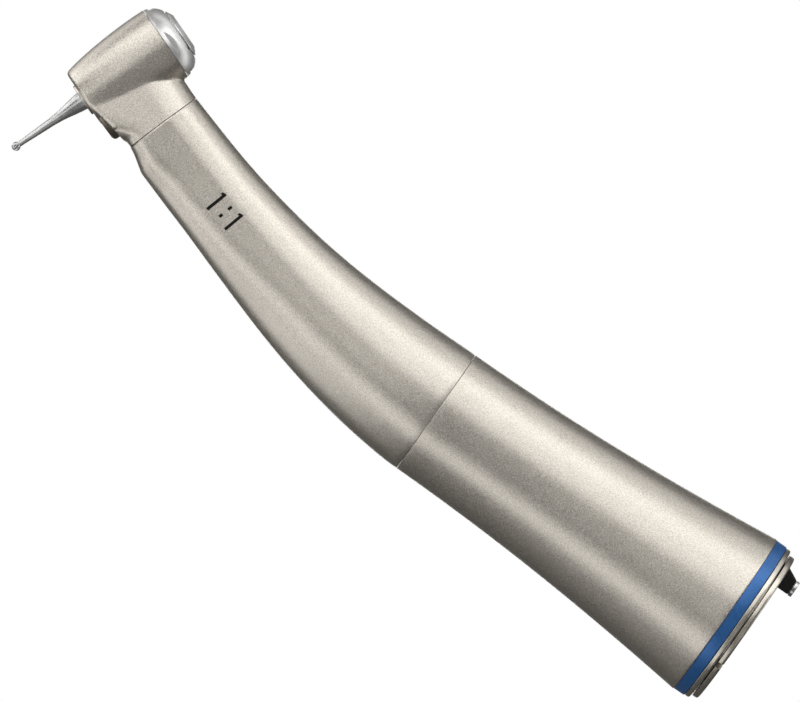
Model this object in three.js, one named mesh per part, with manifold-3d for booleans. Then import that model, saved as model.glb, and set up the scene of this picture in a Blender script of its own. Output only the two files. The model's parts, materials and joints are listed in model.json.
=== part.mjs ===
// Push-button contra-angle dental handpiece, direct drive, with light guide and spray.
// Millimetres. The motor end is at the origin and faces +X, and the bur points down (-Z).
// The outer shells are symmetric about the plane y = 0, in which the drive's axes lie.
import * as THREE from 'three';
import { mergeVertices } from 'three/addons/utils/BufferGeometryUtils.js';
import Module from 'manifold-3d';

const wasm = await Module();
wasm.setup();
const { clamp, lerp, smoothstep } = THREE.MathUtils;

// ---------------------------------------------------------------- driving dimensions
const HEAD_TILT = THREE.MathUtils.degToRad(20.5);  // head axis from vertical, drive axis from level
const SEAM_TILT = THREE.MathUtils.degToRad(18.2);  // plane of the seam between neck and head
const BEND_X = -61.2;             // where the rear and front drive axes cross, on z = 0
const DRIVE_LENGTH = 35.9;        // from that crossing to the head axis
const DRIVE_HEIGHT = 16.3;        // of the front drive axis above the centre of the bur's ball

const SLEEVE_REAR_X = -2.9;
const MID_SEAM_X = -43.5;
const MID_SEAM_R = 7.93;
const SLEEVE_REAR_R = 10.43;
const SLEEVE_WALL = 0.9;
const NECK_SEAM = [-88.2, 9.24];  // centre of the seam, x and z
const NECK_SEAM_R = 4.7;
const NECK_WALL = 0.6;

const GAP = 0.05;                 // between pieces that meet
const FIT = 0.02;                 // radial, between a shaft and what is pressed on it

const SOCKET_R = 5.0;             // bore for the motor's nose
const SOCKET_MOUTH_R = 5.6;
const SOCKET_END_X = -24.5;
const LIGHT_ROD_R = 0.75;
const LIGHT_ROD_Z = 6.88;         // of the light rod at the rear end
const SPRAY_TUBE_R = 0.45;

const HEAD_BORE_R = 3.2;
const DRIVE_BORE_R = 3.0;
const HEAD_FLOOR = 9.5;           // heights in the head, measured up its axis from the bur's ball
const CAP_SEAM = 20.9;
const BUTTON_TOP = 23.4;
const SHANK_R = 1.175;

const SEGMENTS = 32;              // round the large shells
const FINE = 20;                  // round the inner pieces

// ---------------------------------------------------------------- finishes
const FINISH = {
  titanium: { color: 0xc9bfae, roughness: 0.42, metalness: 0.9 },
  steel: { color: 0xb9bbbd, roughness: 0.25, metalness: 1.0 },
  dark_steel: { color: 0x777a7e, roughness: 0.35, metalness: 1.0 },
  brass: { color: 0xc8a45a, roughness: 0.35, metalness: 1.0 },
  blue: { color: 0x2f5f9e, roughness: 0.35, metalness: 0.3 },
  black: { color: 0x1b1b1c, roughness: 0.5, metalness: 0.0 },
  glass: { color: 0xdfe6e2, roughness: 0.08, metalness: 0.0 },
};

// ---------------------------------------------------------------- helpers
// A boolean solid from any closed three.js geometry.
function solid(geometry) {
  const bare = new THREE.BufferGeometry();
  bare.setAttribute('position', geometry.getAttribute('position').clone());
  if (geometry.index) bare.setIndex(geometry.index.clone());
  const merged = mergeVertices(bare, 1e-4);
  return new wasm.Manifold(new wasm.Mesh({
    numProp: 3,
    vertProperties: new Float32Array(merged.getAttribute('position').array),
    triVerts: new Uint32Array(merged.index.array),
  }));
}

function geometryOf(manifold) {
  const mesh = manifold.getMesh();
  const geometry = new THREE.BufferGeometry();
  geometry.setAttribute('position', new THREE.BufferAttribute(mesh.vertProperties, 3));
  geometry.setIndex(new THREE.BufferAttribute(mesh.triVerts, 1));
  geometry.computeVertexNormals();
  return geometry;
}

function cut(body, ...tools) {
  return geometryOf(tools.reduce((rest, tool) => rest.subtract(solid(tool)), solid(body)));
}

function join(...bodies) {
  return geometryOf(bodies.slice(1).reduce((sum, body) => sum.add(solid(body)), solid(bodies[0])));
}

// A body turned about X. The outline lists [x, r]; it closes on itself or ends on the axis.
function turnedX(outline, segments = FINE) {
  const points = outline.map(([x, r]) => new THREE.Vector2(r, x));
  return new THREE.LatheGeometry(oriented(points), segments).rotateZ(-Math.PI / 2);
}

// A body turned about Z. The outline lists [z, r].
function turnedZ(outline, segments = FINE) {
  const points = outline.map(([z, r]) => new THREE.Vector2(r, z));
  return new THREE.LatheGeometry(oriented(points), segments).rotateX(Math.PI / 2);
}

// Closes an outline that is off the axis and runs it the way that faces its surface outwards.
function oriented(points) {
  const first = points[0];
  const last = points[points.length - 1];
  const onAxis = first.x === 0 && last.x === 0;
  const ordered = THREE.ShapeUtils.area(points) > 0 ? points : points.slice().reverse();
  return onAxis ? ordered : [...ordered, ordered[0].clone()];
}

function ringX(x0, x1, inner, outer, segments = FINE) {
  return turnedX([[x0, inner], [x0, outer], [x1, outer], [x1, inner]], segments);
}

function ringZ(z0, z1, inner, outer, segments = FINE) {
  return turnedZ([[z0, inner], [z0, outer], [z1, outer], [z1, inner]], segments);
}

function rodX(x0, x1, r, segments = FINE) {
  return turnedX([[x0, 0], [x0, r], [x1, r], [x1, 0]], segments);
}

function rodZ(z0, z1, r, segments = FINE) {
  return turnedZ([[z0, 0], [z0, r], [z1, r], [z1, 0]], segments);
}

function block(x0, x1, y0, y1, z0, z1) {
  const box = new THREE.BoxGeometry(x1 - x0, y1 - y0, z1 - z0);
  return box.translate((x0 + x1) / 2, (y0 + y1) / 2, (z0 + z1) / 2);
}

// A round wire or tube along a list of points.
function wire(points, r, steps, sides = 10) {
  const path = new THREE.CatmullRomCurve3(points.map((p) => new THREE.Vector3(...p)));
  const section = new THREE.Shape();
  for (let i = 0; i < sides; i += 1) {
    const a = (2 * Math.PI * i) / sides;
    if (i === 0) section.moveTo(r, 0);
    else section.lineTo(r * Math.cos(a), r * Math.sin(a));
  }
  return new THREE.ExtrudeGeometry(section, { steps, extrudePath: path, curveSegments: 1 });
}

// A body lofted through sections {x, z, tilt, r}; tilt turns a section's plane about Y. A section
// is a circle, or two half ellipses where it says how far it reaches up (high) and down (low).
function loft(sections, segments) {
  const positions = [];
  const index = [];
  for (const { x, z, tilt, r, high = r, low = r } of sections) {
    for (let i = 0; i < segments; i += 1) {
      const a = (2 * Math.PI * i) / segments;
      const up = Math.cos(a) * (Math.cos(a) > 0 ? high : low);
      positions.push(x + up * Math.sin(tilt), r * Math.sin(a), z + up * Math.cos(tilt));
    }
  }
  const last = sections.length - 1;
  for (let s = 0; s < last; s += 1) {
    for (let i = 0; i < segments; i += 1) {
      const a = s * segments + i;
      const b = s * segments + ((i + 1) % segments);
      index.push(a, b, a + segments, b, b + segments, a + segments);
    }
  }
  for (const [row, flip] of [[0, false], [last, true]]) {
    const centre = positions.length / 3;
    positions.push(sections[row].x, 0, sections[row].z);
    for (let i = 0; i < segments; i += 1) {
      const a = row * segments + i;
      const b = row * segments + ((i + 1) % segments);
      if (flip) index.push(centre, a, b);
      else index.push(centre, b, a);
    }
  }
  const geometry = new THREE.BufferGeometry();
  geometry.setAttribute('position', new THREE.Float32BufferAttribute(positions, 3));
  geometry.setIndex(index);
  return geometry;
}

function curve2(...points) {
  return new THREE.CubicBezierCurve(...points.map(([x, y]) => new THREE.Vector2(x, y)));
}

// ---------------------------------------------------------------- frames
const handpiece = new THREE.Group();

// The head's own frame: origin at the bur's ball, +Z up the head axis, +X back along the drive.
const headFrame = new THREE.Group();
headFrame.rotation.y = HEAD_TILT;
headFrame.position.set(
  BEND_X - DRIVE_LENGTH * Math.cos(HEAD_TILT) - DRIVE_HEIGHT * Math.sin(HEAD_TILT),
  0,
  DRIVE_LENGTH * Math.sin(HEAD_TILT) - DRIVE_HEIGHT * Math.cos(HEAD_TILT),
);
handpiece.add(headFrame);

// The front drive frame: origin where the drive axes cross, +X back along the front shaft.
const driveFrame = new THREE.Group();
driveFrame.position.set(DRIVE_LENGTH, 0, DRIVE_HEIGHT);
headFrame.add(driveFrame);
handpiece.updateMatrixWorld(true);
const toHead = headFrame.matrixWorld.clone().invert();
const headPoint = (x, y, z) => new THREE.Vector3(x, y, z).applyMatrix4(headFrame.matrixWorld).toArray();

function add(group, name, geometry, finish) {
  const mesh = new THREE.Mesh(geometry, new THREE.MeshStandardMaterial(FINISH[finish]));
  mesh.name = name;
  group.add(mesh);
  return mesh;
}

// ---------------------------------------------------------------- outer lines
// Radius of the grip sleeve against x, and of the neck against length along its centreline.
const gripLine = curve2([MID_SEAM_X, MID_SEAM_R], [-27, MID_SEAM_R], [-14, 9.2],
  [SLEEVE_REAR_X, SLEEVE_REAR_R]);
const neckCentre = curve2([MID_SEAM_X, 0], [MID_SEAM_X - 8.9, 0],
  [NECK_SEAM[0] + 23 * Math.cos(SEAM_TILT), NECK_SEAM[1] - 23 * Math.sin(SEAM_TILT)], NECK_SEAM);
const neckLength = neckCentre.getLength();
const neckLine = curve2([0, MID_SEAM_R], [11, MID_SEAM_R], [28, 5.15], [neckLength, NECK_SEAM_R]);

// How much more than round the neck reaches below its centreline, and how much less above it.
function neckBelly(t) {
  const belly = 0.58 * smoothstep(t, 0.08, 0.6) + 0.14 * smoothstep(t, 0.8, 0.92);
  return belly * (1 - 0.9 * smoothstep(t, 0.95, 1));
}

function neckBrow(t) {
  return 0.2 * smoothstep(t, 0.3, 0.68) * (1 - smoothstep(t, 0.8, 1));
}

// Sections of the neck, offset inwards by a wall, from the mid seam (0) to the head's seam (1).
function neckSections(stations, wall) {
  return stations.map((t) => {
    const inside = clamp(t, 0, 1);
    const p = neckCentre.getPoint(inside);
    const d = neckCentre.getTangent(inside);
    const r = neckLine.getPoint(inside).y - wall;
    const past = (t - inside) * neckLength;
    return {
      x: p.x + d.x * past,
      z: p.y + d.y * past,
      tilt: Math.atan2(d.y, -d.x),
      r,
      high: r - neckBrow(inside),
      low: r + neckBelly(inside),
    };
  });
}

// Stations along the neck, closer together near the head, where the belly ends.
const NECK_STATIONS = [0.08, 0.16, 0.24, 0.32, 0.4, 0.48, 0.56, 0.64, 0.72, 0.8, 0.88, 0.94, 0.962, 0.98];
const INNER_STATIONS = [-0.02, 0.1, 0.22, 0.34, 0.46, 0.58, 0.7, 0.82, 0.93, 0.97, 1.02];

// ---------------------------------------------------------------- routes of rod and tubes
const lightRoute = [
  [2.05, 0, LIGHT_ROD_Z], [-4, 0, LIGHT_ROD_Z], [-14, 0, 6.8], [-24, 0, 6.75], [-27.5, 0, 6.65],
  [-32, 0, 6.05], [-38, 0, 5.1], [-45, -0.5, 4.9], [-51, -2.6, 4.2], [-56, -4.1, 2.7],
  [-62, -4.5, 1.6], [-69, -3.6, 1.5], [-76, -2.2, 2.35], [-82, -0.8, 3.95],
  headPoint(9.7, 0, 12.55), headPoint(7.2, 0, 12.25), headPoint(6.0, 0, 11.9),
  headPoint(5.45, 0, 11.3),
];
const waterRoute = [
  [-27.1, 3.3, -3.2], [-36, 3.3, -3.2], [-46, 3.6, -2.9], [-56, 4.5, -1.6], [-62, 4.6, -0.4],
  [-69, 3.9, 1.1], [-76, 2.8, 2.9], [-82, 1.7, 4.6], headPoint(9.7, 1.6, 12.9),
  headPoint(7.4, 1.5, 12.5), headPoint(6.3, 1.3, 11.7),
];
const airRoute = [
  [-27.1, 4.4, 1.4], [-36, 4.4, 1.5], [-46, 4.5, 1.7], [-56, 4.8, 1.9], [-62, 4.75, 2.3],
  [-69, 4.1, 3.2], [-76, 3.45, 4.5], [-82, 2.75, 5.7], headPoint(9.7, 2.75, 14.0),
  headPoint(8.2, 2.7, 13.9),
];
const lightRod = wire(lightRoute, LIGHT_ROD_R, 36, 8);
const waterTube = wire(waterRoute, SPRAY_TUBE_R, 26, 6);
const airTube = wire(airRoute, SPRAY_TUBE_R, 22, 6);
const CHANNEL_SPACE = 0.12;
const channels = [
  wire(lightRoute, LIGHT_ROD_R + CHANNEL_SPACE, 36, 8),
  wire(waterRoute, SPRAY_TUBE_R + CHANNEL_SPACE, 26, 6),
  wire(airRoute, SPRAY_TUBE_R + CHANNEL_SPACE, 22, 6),
];
add(handpiece, 'light_guide_rod', lightRod, 'glass');
add(handpiece, 'water_tube', waterTube, 'steel');
add(handpiece, 'air_tube', airTube, 'steel');

// ---------------------------------------------------------------- sleeves
function gripSleeve() {
  const outer = [];
  const inner = [];
  const steps = 10;
  for (let i = 0; i <= steps; i += 1) {
    const { x, y: r } = gripLine.getPoint(i / steps);
    outer.push([x, r]);
    if (i % 2 === 0) inner.unshift([x, r - SLEEVE_WALL]);
  }
  const edge = outer[steps];
  outer.splice(steps, 1, [edge[0] - 0.2, edge[1] - 0.02], [edge[0], edge[1] - 0.2]);
  return turnedX([...outer, ...inner], SEGMENTS);
}

function neckSleeve() {
  const outer = loft(neckSections([GAP / neckLength, ...NECK_STATIONS, 1], 0), SEGMENTS);
  const inner = loft(neckSections(INNER_STATIONS, NECK_WALL), FINE);
  return cut(outer, inner);
}

// A plate across the inside of the neck that carries a gear case.
function neckPlate(disc) {
  const inside = solid(loft(neckSections(INNER_STATIONS, NECK_WALL + 2 * GAP), FINE));
  const plate = solid(disc).intersect(inside);
  return geometryOf(channels.reduce((rest, channel) => rest.subtract(solid(channel)), plate));
}

add(handpiece, 'grip_sleeve', gripSleeve(), 'titanium');
add(handpiece, 'neck_sleeve', neckSleeve(), 'titanium');
add(handpiece, 'sleeve_joint_ring', ringX(-48, -39, 6.1, 6.9, SEGMENTS), 'steel');
add(handpiece, 'mid_frame', cut(ringX(-45.5, -41.5, 3.65, 6.05), ...channels), 'steel');

// ---------------------------------------------------------------- rear end
const RING = { front: -2.87, rear: -1.52, inner: 8.9, outer: 10.3 };
const FLANGE = { front: -1.48, rear: -0.88, outer: 10.25, hubFront: -8, hub: 8.8 };
const END = { front: -0.7, outer: 9.8, hub: 7.6, face: 8.7, inner: 6.4 };
const HOLDER = { halfWidth: 1.3, low: 5.95, high: 8.6, tipHigh: 7.85, front: -6, rear: 1.6 };
const SLOT = { width: 0.8, depth: 1.15, angle: THREE.MathUtils.degToRad(212.3) };

function ratioRing() {
  const { front, rear, inner, outer } = RING;
  return turnedX([[front, inner], [front, outer], [rear, outer], [rear, inner]], SEGMENTS);
}

function holderPocket() {
  const w = HOLDER.halfWidth + GAP;
  return block(HOLDER.front - 3, 0.5, -w, w, HOLDER.low - GAP, HOLDER.high + 2 * GAP);
}

function rearFlange() {
  const { front, rear, outer, hubFront, hub } = FLANGE;
  const body = turnedX([
    [hubFront, END.inner], [hubFront, hub], [front, hub], [front, outer - 0.1],
    [front + 0.15, outer], [rear - 0.2, outer], [rear, outer - 0.25], [rear, END.hub + GAP],
    [-4.1, END.hub + GAP], [-4.1, END.inner],
  ], SEGMENTS);
  return cut(body, holderPocket());
}

function endRing() {
  const { front, outer, hub, face, inner } = END;
  const rim = outer - face;
  const rounding = [0, 20, 40, 60, 80, 90].map((degrees) => {
    const a = THREE.MathUtils.degToRad(degrees);
    return [front * 0.7 + 0.7 * -front * Math.sin(a), face + rim * Math.cos(a)];
  });
  const body = turnedX([
    [-4, inner], [-4, hub], [front, hub], [front, outer - 0.1], ...rounding, [0, inner],
  ], SEGMENTS);
  const slots = [0, Math.PI].map((turn) => {
    const slot = block(-0.9, 0.3, outer - SLOT.depth, outer + 1, -SLOT.width / 2, SLOT.width / 2);
    return slot.rotateX(SLOT.angle + turn);
  });
  return cut(body, holderPocket(), ...slots);
}

function couplingSleeve() {
  const end = SOCKET_END_X;
  const mouth = SOCKET_MOUTH_R;
  const body = turnedX([
    [end - 2.5, 2.5], [end - 2.5, 5.8], [-9, 5.8], [-7, 6.3], [-0.3, 6.3], [-0.3, mouth + 0.3],
    [-0.8, mouth], [-5, mouth], [-7, SOCKET_R], [-15.4, SOCKET_R], [-15.4, 5.35],
    [-16.4, 5.35], [-16.4, SOCKET_R], [end, SOCKET_R], [end, 2.5],
  ]);
  return cut(body, holderPocket());
}

function lockRing() {
  const ring = ringX(-16.3, -15.5, 4.85, 5.28);
  return cut(ring, block(-17, -15, -1, 1, -6, -4));
}

function lightHolder() {
  const { halfWidth, low, high, tipHigh, front, rear } = HOLDER;
  const side = new THREE.Shape([
    new THREE.Vector2(front, low), new THREE.Vector2(rear, low), new THREE.Vector2(rear, tipHigh),
    new THREE.Vector2(0.1, high), new THREE.Vector2(front, high),
  ]);
  const bar = new THREE.ExtrudeGeometry(side, { depth: 2 * halfWidth, bevelEnabled: false });
  bar.rotateX(Math.PI / 2).translate(0, halfWidth, 0);
  return cut(bar, channels[0]);
}

add(handpiece, 'ratio_ring', ratioRing(), 'blue');
add(handpiece, 'rear_flange', rearFlange(), 'titanium');
add(handpiece, 'end_ring', endRing(), 'titanium');
add(handpiece, 'coupling_sleeve', couplingSleeve(), 'steel');
add(handpiece, 'motor_lock_ring', lockRing(), 'dark_steel');
add(handpiece, 'light_guide_holder', lightHolder(), 'black');
const ferrule = ringX(1.65, 2.1, 0.9, 0.99, 16).translate(0, 0, LIGHT_ROD_Z);
add(handpiece, 'light_guide_ferrule', ferrule, 'steel');

// ---------------------------------------------------------------- bearings
// Races, and balls held in their cage, about Z; turned to run about X where asked.
function bearing(group, name, at, sizes, alongX) {
  const { inner, outer, width, balls } = sizes;
  const pitch = (inner + outer) / 2;
  const ball = (outer - inner) * 0.265;
  const groove = ball + 0.04;
  const shoulder = ball * 0.5;
  const half = width / 2;
  const race = (edge, side) => turnedZ([
    [-half, edge], [half, edge], [half, pitch + side * shoulder], [0, pitch + side * groove],
    [-half, pitch + side * shoulder],
  ]);
  const spheres = [];
  for (let i = 0; i < balls; i += 1) {
    const a = (2 * Math.PI * i) / balls;
    const sphere = new THREE.IcosahedronGeometry(ball, 0);
    spheres.push(sphere.translate(pitch * Math.cos(a), pitch * Math.sin(a), 0));
  }
  const band = ringZ(-0.6 * ball, 0.6 * ball, pitch - 0.25 * ball, pitch + 0.25 * ball, 2 * balls);
  const cage = join(band, ...spheres);
  const pieces = { outer_race: race(outer, 1), inner_race: race(inner, -1), ball_cage: cage };
  for (const [piece, geometry] of Object.entries(pieces)) {
    if (alongX) geometry.rotateY(Math.PI / 2);
    geometry.translate(alongX ? at : 0, 0, alongX ? 0 : at);
    add(group, `${name}_${piece}`, geometry, piece === 'ball_cage' ? 'brass' : 'steel');
  }
}

// ---------------------------------------------------------------- gears
// A bevel gear about Z with its cone's apex at the origin and its back towards +Z.
function bevelGear({ teeth, cone, toe, heel, addendum, dedendum, bore, hub, back, phase }) {
  const rings = [];
  const even = (r, z) => Array(4 * teeth).fill([r, z]);
  const toothed = (s) => {
    const tip = cone + addendum / heel;
    const root = cone - dedendum / heel;
    const low = [s * Math.sin(root), s * Math.cos(root)];
    const high = [s * Math.sin(tip), s * Math.cos(tip)];
    return Array(teeth).fill([low, high, high, low]).flat();
  };
  const rootFace = toe * Math.cos(cone - dedendum / heel);
  const rim = heel * Math.cos(cone - dedendum / heel) + 0.25;
  rings.push(even(bore, rootFace), toothed(toe), toothed(heel), even(hub, rim), even(hub, back));
  rings.push(even(bore, back));
  const turns = [-0.3, -0.13, 0.13, 0.3];
  const positions = [];
  const index = [];
  const count = 4 * teeth;
  rings.forEach((ring) => ring.forEach(([r, z], i) => {
    const a = (2 * Math.PI * (Math.floor(i / 4) + turns[i % 4] + phase)) / teeth;
    positions.push(r * Math.cos(a), r * Math.sin(a), z);
  }));
  rings.forEach((ring, k) => {
    const next = (k + 1) % rings.length;
    for (let i = 0; i < count; i += 1) {
      const j = (i + 1) % count;
      const [a, b, c, d] = [k * count + i, k * count + j, next * count + i, next * count + j];
      index.push(a, b, c, b, d, c);
    }
  });
  const geometry = new THREE.BufferGeometry();
  geometry.setAttribute('position', new THREE.Float32BufferAttribute(positions, 3));
  geometry.setIndex(index);
  return geometry;
}

const SPINDLE_R = 1.5875;
const FRONT_SHAFT_R = 0.95;
const REAR_SHAFT_R = 1.2;
const headPair = {
  teeth: 12, cone: Math.PI / 4, toe: 2.8, heel: 3.5, addendum: 0.24, dedendum: 0.32,
};
const bendPair = {
  teeth: 12, cone: (Math.PI - HEAD_TILT) / 2, toe: 2.1, heel: 3.0, addendum: 0.22, dedendum: 0.34,
};

// ---------------------------------------------------------------- rear shaft, about X
const REAR_BEARING = { inner: REAR_SHAFT_R + FIT, outer: 3.1, width: 1.8, balls: 6 };
const CASE_SEAT_R = 3.13;

function rearGearCase() {
  return turnedX([
    [-58, CASE_SEAT_R], [-58, 3.6], [-27.05, 3.6], [-27.05, CASE_SEAT_R], [-29.45, CASE_SEAT_R],
    [-29.45, 2.6], [-30.2, 1.7], [-55.2, 1.7], [-55.9, 2.6], [-55.9, CASE_SEAT_R],
  ]);
}

function driveDog() {
  const body = turnedX([
    [-26.4, REAR_SHAFT_R + FIT], [-26.4, 2.2], [-21, 2.2], [-20.7, 1.9], [-20.7, REAR_SHAFT_R + FIT],
  ]);
  return cut(body, block(-23.4, -20, -0.8, 0.8, -3, 3));
}

function rearBendGear() {
  const gear = bevelGear({
    ...bendPair, bore: REAR_SHAFT_R + FIT, hub: 2.4, back: 2.9, phase: 0,
  });
  return gear.rotateY(Math.PI / 2).translate(BEND_X, 0, 0);
}

add(handpiece, 'rear_gear_case', rearGearCase(), 'steel');
add(handpiece, 'rear_plate', neckPlate(ringX(-57.5, -55.8, 3.65, 7)), 'steel');
add(handpiece, 'rear_shaft', rodX(BEND_X + 0.6, -23.2, REAR_SHAFT_R, 24), 'steel');
add(handpiece, 'drive_dog', driveDog(), 'dark_steel');
add(handpiece, 'rear_bend_gear', rearBendGear(), 'steel');
bearing(handpiece, 'rear_shaft_rear_bearing', -28.5, REAR_BEARING, true);
bearing(handpiece, 'rear_shaft_front_bearing', -56.85, REAR_BEARING, true);

// ---------------------------------------------------------------- front shaft, about the drive X
const FRONT_BEARING = { inner: FRONT_SHAFT_R + FIT, outer: 2.5, width: 1.8, balls: 6 };
const FRONT_SEAT_R = 2.53;

function frontGearCase() {
  return turnedX([
    [-27.3, FRONT_SEAT_R], [-27.3, 2.9], [-4.4, 2.9], [-4.4, FRONT_SEAT_R], [-6.4, FRONT_SEAT_R],
    [-6.4, 2.0], [-7.2, 1.4], [-24.5, 1.4], [-25.3, 2.0], [-25.3, FRONT_SEAT_R],
  ]);
}

function frontBendGear() {
  const gear = bevelGear({
    ...bendPair, bore: FRONT_SHAFT_R + FIT, hub: 2.3, back: 3.0, phase: 0.5,
  });
  return gear.rotateY(-Math.PI / 2);
}

function headPinion() {
  const gear = bevelGear({
    ...headPair, bore: FRONT_SHAFT_R + FIT, hub: 1.9, back: 5.2, phase: 0,
  });
  return gear.rotateY(Math.PI / 2).translate(-DRIVE_LENGTH, 0, 0);
}

function frontPlate() {
  return neckPlate(ringX(-6.6, -4.8, 2.95, 7).applyMatrix4(driveFrame.matrixWorld));
}

add(driveFrame, 'front_gear_case', frontGearCase(), 'steel');
add(handpiece, 'front_plate', frontPlate(), 'steel');
add(driveFrame, 'front_shaft', rodX(-DRIVE_LENGTH + 2.1, -0.6, FRONT_SHAFT_R, 20), 'steel');
add(driveFrame, 'front_bend_gear', frontBendGear(), 'steel');
add(driveFrame, 'head_pinion', headPinion(), 'steel');
bearing(driveFrame, 'front_shaft_rear_bearing', -5.45, FRONT_BEARING, true);
bearing(driveFrame, 'front_shaft_front_bearing', -26.25, FRONT_BEARING, true);

// ---------------------------------------------------------------- head
const COVER_R = 2.6;
const BUR_HOLE_R = 1.5;
const SKIRT = { low: 19.7, outer: 3.95, inner: 3.15 };
const FLAT = { distance: 4.22, low: 21.15, first: THREE.MathUtils.degToRad(-84) };

// The outlet fills the underside of the neck stub, level with the head's floor and behind it.
const OUTLET = {
  front: 2,
  rear: 5.9,
  halfWidth: 2.9,
  low: 9.55,        // of its underside, 2.3 mm behind the head axis
  rise: 0.03,       // of its underside towards the rear, in radians
  top: 11.9,
  barrelSide: 3.95,
};
const LIGHT_AIM = Math.atan2(4.85, 10.95);  // leaning back from the head axis, at the bur's ball
const WINDOW = { r: 0.68, near: 11.15, far: 12 };  // near and far are distances from the bur's ball

function outletShape(space) {
  const { front, rear, halfWidth, low, rise, top, barrelSide } = OUTLET;
  const end = rear + space;
  const side = halfWidth + space;
  const plan = new THREE.Shape();
  plan.moveTo(front, -side);
  plan.bezierCurveTo(front + 1.6, -side, end, -0.73 * side, end, 0);
  plan.bezierCurveTo(end, 0.73 * side, front + 1.6, side, front, side);
  const bottom = low - 1;
  const depth = top + space - bottom;
  const body = new THREE.ExtrudeGeometry(plan, { depth, bevelEnabled: false, curveSegments: 8 });
  const under = block(-9, 9, -9, 9, -9, -space).rotateY(-rise).translate(2.3, 0, low);
  return cut(body.translate(0, 0, bottom), under, rodZ(bottom, 13, barrelSide - space, SEGMENTS));
}

// The light leaves along a line towards the bur's ball.
function lightBore(r, near, far) {
  return rodZ(near, far, r, 16).rotateY(LIGHT_AIM);
}

function barrel() {
  const top = CAP_SEAM - GAP;
  const side = curve2([10.1, 3.8], [12.4, 4.36], [17.5, 4.77], [top - 0.1, 4.62]).getPoints(7);
  return turnedZ([
    [HEAD_FLOOR, 0], [HEAD_FLOOR, 3.3], [HEAD_FLOOR + 0.1, 3.56], [HEAD_FLOOR + 0.3, 3.7],
    ...side.map(({ x, y }) => [x, y]), [top, 4.54], [top, 0],
  ], SEGMENTS);
}

// Round at the seam, it deepens towards the head, and its underside is hollowed down to the floor.
function neckStub() {
  const seam = new THREE.Vector3(NECK_SEAM[0], 0, NECK_SEAM[1]).applyMatrix4(toHead);
  const lean = SEAM_TILT - HEAD_TILT;
  const axisHeight = 15.6;
  const centre = curve2([seam.x, seam.z], [seam.x - 2.4, seam.z - 2.4 * Math.sin(lean)],
    [2.4, axisHeight], [0, axisHeight]);
  const steps = 7;
  const sections = [];
  for (let i = 0; i <= steps; i += 1) {
    const t = i / steps;
    const { x, y: z } = centre.getPoint(t);
    sections.push({
      x,
      z,
      tilt: lean * (1 - t),
      r: lerp(NECK_SEAM_R, 3.6, t),
      high: lerp(NECK_SEAM_R, 4.6, t),
      low: lerp(NECK_SEAM_R, 9, smoothstep(t, 0.1, 0.8)),
    });
  }
  const underside = curve2([0, HEAD_FLOOR + 0.1], [3, 9.7], [4.6, 10.95], [seam.x + 0.3, 10.8]);
  const below = new THREE.Shape([
    ...underside.getPoints(7), new THREE.Vector2(seam.x + 0.3, 5), new THREE.Vector2(-1, 5),
    new THREE.Vector2(-1, HEAD_FLOOR + 0.1),
  ]);
  const tool = new THREE.ExtrudeGeometry(below, { depth: 12, bevelEnabled: false });
  return cut(loft(sections, SEGMENTS), tool.rotateX(Math.PI / 2).translate(0, 6, 0));
}

// The spigot that the neck sleeve slides on.
function neckSpigot() {
  const stations = [1 - 3.2 / neckLength, 0.97, 1 + 1 / neckLength];
  return loft(neckSections(stations, NECK_WALL + GAP), FINE).applyMatrix4(toHead);
}

function headHousing() {
  const channelCuts = channels.map((channel) => channel.clone().applyMatrix4(toHead));
  return cut(
    join(barrel(), neckStub(), neckSpigot()),
    rodZ(10.4, 21, HEAD_BORE_R),
    rodZ(9, 10.5, COVER_R + GAP),
    rodZ(19.6, 21, SKIRT.outer + GAP),
    rodX(0, 14, DRIVE_BORE_R).translate(0, 0, DRIVE_HEIGHT),
    outletShape(GAP),
    ...channelCuts,
  );
}

function headCap() {
  const dome = curve2([21.05, 4.58], [21.7, 4.4], [22.3, 4.1], [22.9, 3.05]).getPoints(5);
  const body = turnedZ([
    [SKIRT.low, SKIRT.inner], [SKIRT.low, SKIRT.outer], [CAP_SEAM, SKIRT.outer], [CAP_SEAM, 4.58],
    ...dome.map(({ x, y }) => [x, y]), [22.9, 2.9], [22.55, 2.9], [22.2, 3.5], [21.1, 3.5],
    [21.1, SKIRT.inner],
  ], SEGMENTS);
  const flats = [];
  for (let i = 0; i < 6; i += 1) {
    const flat = block(FLAT.distance, 5.2, -1.7, 1.7, FLAT.low, 24);
    flats.push(flat.rotateZ((i * Math.PI) / 3 + FLAT.first));
  }
  return cut(body, ...flats);
}

function pushButton() {
  return turnedZ([
    [22.9, 0], [BUTTON_TOP, 0], [BUTTON_TOP, 2.55], [BUTTON_TOP - 0.2, 2.78], [22.08, 2.78],
    [22.08, 3.35], [21.85, 3.35], [21.85, 1.35], [22.9, 1.35],
  ].reverse());
}

function buttonSpring() {
  const points = [];
  const turns = 2.25;
  const count = 28;
  for (let i = 0; i <= count; i += 1) {
    const a = (2 * Math.PI * turns * i) / count;
    points.push([2.8 * Math.cos(a), 2.8 * Math.sin(a), 21.18 + (0.52 * i) / count]);
  }
  return wire(points, 0.1, 36, 5);
}

function bearingCover() {
  return turnedZ([
    [9.15, BUR_HOLE_R], [9.15, 1.95], [9.25, 2.05], [HEAD_FLOOR, 2.05], [HEAD_FLOOR, COVER_R],
    [10.38, COVER_R], [10.38, BUR_HOLE_R],
  ]);
}

function sprayLightNozzle() {
  const routes = channels.map((channel) => channel.clone().applyMatrix4(toHead));
  return cut(outletShape(0), lightBore(WINDOW.r + 0.04, 8, 14), ...routes);
}

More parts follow.
